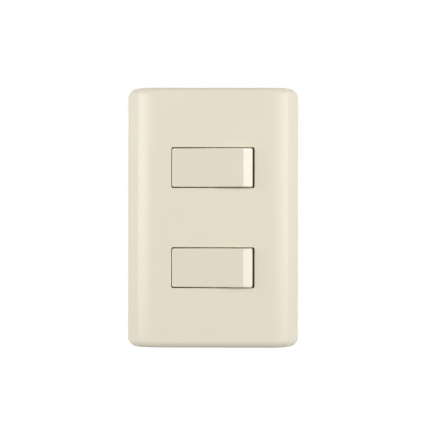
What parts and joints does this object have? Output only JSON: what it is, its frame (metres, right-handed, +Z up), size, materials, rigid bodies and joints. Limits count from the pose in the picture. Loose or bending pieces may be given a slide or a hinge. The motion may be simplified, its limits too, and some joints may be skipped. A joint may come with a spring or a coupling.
{
  "type": "double light switch",
  "caption": "Upright wall plate with a crowned front and rocker light switches, one above the other, on a steel strap with box screws and wire clamps behind.",
  "frame": {"origin": "on the wall plane, midway between the box screws, behind the middle of the cover plate", "axes": "+X to the right as seen from the room, +Y into the wall along the box screws, +Z up along the plate's long side"},
  "size_m": [0.0762, 0.0345, 0.1152],
  "materials": {
    "ivory_gloss": "satin gloss, moulded",
    "module_plastic": "fine matt, moulded",
    "plunger_plastic": "smooth",
    "zinc_plated_steel": "bright zinc plated",
    "brass": "plain stamped",
    "contact_silver": null,
    "vulcanised_fibre": "matt red-brown fibre",
    "spring_steel": "drawn wire"
  },
  "bodies": {
    "switch_body": {"cover_plate": "ivory_gloss", "mounting_strap": "zinc_plated_steel", "box_screws": "zinc_plated_steel", "captive_washers": "vulcanised_fibre", "upper_fixed_rivet": "contact_silver", "upper_load_terminal": "brass", "upper_common_terminal": "brass", "upper_module_frame": "module_plastic", "upper_module_housing": "module_plastic", "upper_load_clamp_plate": "zinc_plated_steel", "upper_load_terminal_screw": "zinc_plated_steel", "upper_common_clamp_plate": "zinc_plated_steel", "upper_common_terminal_screw": "zinc_plated_steel", "lower_fixed_rivet": "contact_silver", "lower_load_terminal": "brass", "lower_common_terminal": "brass", "lower_module_frame": "module_plastic", "lower_module_housing": "module_plastic", "lower_load_clamp_plate": "zinc_plated_steel", "lower_load_terminal_screw": "zinc_plated_steel", "lower_common_clamp_plate": "zinc_plated_steel", "lower_common_terminal_screw": "zinc_plated_steel"},
    "upper_rocker_body": {"upper_rocker": "ivory_gloss", "upper_rocker_spring": "spring_steel"},
    "upper_plunger_body": {"upper_plunger": "plunger_plastic"},
    "upper_contact_body": {"upper_rocking_contact": "brass", "upper_moving_rivet": "contact_silver"},
    "lower_rocker_body": {"lower_rocker": "ivory_gloss", "lower_rocker_spring": "spring_steel"},
    "lower_plunger_body": {"lower_plunger": "plunger_plastic"},
    "lower_contact_body": {"lower_rocking_contact": "brass", "lower_moving_rivet": "contact_silver"}
  },
  "joints": [
    {"name": "upper_rocker_tilt", "type": "hinge", "parent": "switch_body", "child": "upper_rocker_body", "pos_m": [0, -0.0044, 0.022], "axis": [0, 0, 1], "range_deg": [0, 11]},
    {"name": "upper_contact_tilt", "type": "hinge", "parent": "switch_body", "child": "upper_contact_body", "pos_m": [0, 0.0105, 0.022], "axis": [0, 0, 1], "range_deg": [-15.8, 0]},
    {"name": "upper_plunger_slide", "type": "slide", "parent": "upper_rocker_body", "child": "upper_plunger_body", "axis": [-0.0958, -0.9954, 0], "range_m": [0, 0.0008], "stiffness_N_per_m": 500, "springref_m": -0.002, "deforming": ["upper_rocker_spring"]},
    {"name": "lower_rocker_tilt", "type": "hinge", "parent": "switch_body", "child": "lower_rocker_body", "pos_m": [0, -0.0044, -0.022], "axis": [0, 0, 1], "range_deg": [0, 11]},
    {"name": "lower_contact_tilt", "type": "hinge", "parent": "switch_body", "child": "lower_contact_body", "pos_m": [0, 0.0105, -0.022], "axis": [0, 0, 1], "range_deg": [-15.8, 0]},
    {"name": "lower_plunger_slide", "type": "slide", "parent": "lower_rocker_body", "child": "lower_plunger_body", "axis": [-0.0958, -0.9954, 0], "range_m": [0, 0.0008], "stiffness_N_per_m": 500, "springref_m": -0.002, "deforming": ["lower_rocker_spring"]}
  ],
  "couplings": [
    {"joint": "upper_contact_tilt", "follows": "upper_rocker_tilt", "ratio": -1.4363},
    {"joint": "lower_contact_tilt", "follows": "lower_rocker_tilt", "ratio": -1.4363}
  ]
}
